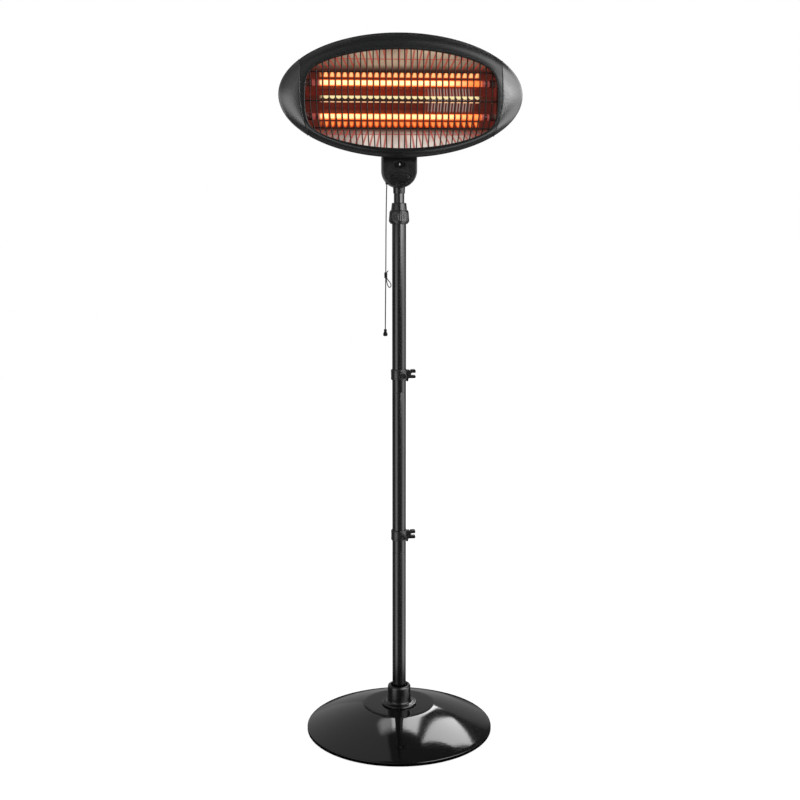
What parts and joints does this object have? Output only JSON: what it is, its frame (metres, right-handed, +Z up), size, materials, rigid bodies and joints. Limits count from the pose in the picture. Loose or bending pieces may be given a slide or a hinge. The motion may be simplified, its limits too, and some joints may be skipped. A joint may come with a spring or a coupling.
{
  "type": "infrared patio heater tower",
  "caption": "Free-standing infrared patio heater: weighted round base, telescopic pole with a twist-lock collar, pull-cord switch housing and a tilting oval head with glowing quartz tubes.",
  "frame": {"origin": "centre of the base on the floor, under the pole", "axes": "+Z up along the pole, -Y out of the front of the heater, +X to the right seen from the front"},
  "size_m": [0.4842, 0.4, 1.4612],
  "materials": {
    "gloss_paint": "high-gloss black powder coat",
    "pole_paint": "satin black paint on steel tube",
    "black_plastic": "fine-textured black moulding",
    "satin_plastic": "satin charcoal moulding",
    "soft_rubber": "matt black rubber",
    "concrete": "cast concrete ballast",
    "zinc_steel": "zinc-plated steel",
    "mirror_sheet": "bright-rolled aluminium sheet",
    "guard_wire": "dark heat-resistant coated wire",
    "hot_quartz": "glowing quartz glass",
    "hot_coil": "glowing resistance wire",
    "white_ceramic": "unglazed steatite",
    "cord_fabric": "thin black braided cord",
    "pale_lens": "clear indicator lens"
  },
  "bodies": {
    "stand": {"base_cover": "gloss_paint", "ballast_disc": "concrete", "base_pan": "black_plastic", "foot_1": "soft_rubber", "foot_2": "soft_rubber", "foot_3": "soft_rubber", "foot_4": "soft_rubber", "anchor_bolt": "zinc_steel", "hub_cover": "black_plastic", "pole_plug": "zinc_steel", "lower_tube": "pole_paint", "middle_tube": "pole_paint", "upper_tube": "pole_paint", "lower_joint_sleeve": "zinc_steel", "upper_joint_sleeve": "zinc_steel", "lower_cord_clip": "black_plastic", "lower_clip_screw": "zinc_steel", "upper_cord_clip": "black_plastic", "upper_clip_screw": "zinc_steel", "collet_body": "black_plastic"},
    "collar": {"collar_grip": "black_plastic"},
    "mast": {"inner_tube": "pole_paint", "guide_bush": "black_plastic", "housing_front": "black_plastic", "housing_rear": "black_plastic", "badge": "satin_plastic", "indicator_lens": "pale_lens", "pull_switch": "satin_plastic", "tip_over_switch": "satin_plastic", "cord_grommet": "black_plastic", "cable_gland": "black_plastic", "housing_screw_1": "zinc_steel", "housing_screw_2": "zinc_steel", "tilt_bolt": "zinc_steel", "tilt_nut": "zinc_steel"},
    "pull": {"switch_lever": "satin_plastic", "pull_cord": "cord_fabric", "cord_knot": "cord_fabric", "pull_bell": "black_plastic"},
    "head": {"bezel": "satin_plastic", "end_cap_right": "satin_plastic", "end_cap_left": "satin_plastic", "rear_shell": "gloss_paint", "reflector": "mirror_sheet", "reflector_end_right": "mirror_sheet", "reflector_end_left": "mirror_sheet", "quartz_tube_upper": "hot_quartz", "quartz_tube_lower": "hot_quartz", "heating_coil_upper": "hot_coil", "heating_coil_lower": "hot_coil", "ceramic_upper_right": "white_ceramic", "ceramic_upper_left": "white_ceramic", "ceramic_lower_right": "white_ceramic", "ceramic_lower_left": "white_ceramic", "terminal_block": "black_plastic", "wire_guard": "guard_wire", "hinge_lug": "gloss_paint", "lug_screw_1": "zinc_steel", "lug_screw_2": "zinc_steel"}
  },
  "joints": [
    {"name": "collar_turn", "type": "hinge", "parent": "stand", "child": "collar", "pos_m": [0, 0, 1.105], "axis": [0, 0, 1], "range_deg": [0, 90]},
    {"name": "height_slide", "type": "slide", "parent": "stand", "child": "mast", "axis": [0, 0, 1], "range_m": [0, 0.25]},
    {"name": "cord_pull", "type": "slide", "parent": "mast", "child": "pull", "axis": [0, 0, -1], "range_m": [0, 0.008], "stiffness_N_per_m": 400},
    {"name": "head_tilt", "type": "hinge", "parent": "mast", "child": "head", "pos_m": [0, 0, 1.24], "axis": [1, 0, 0], "range_deg": [0, 30]}
  ]
}
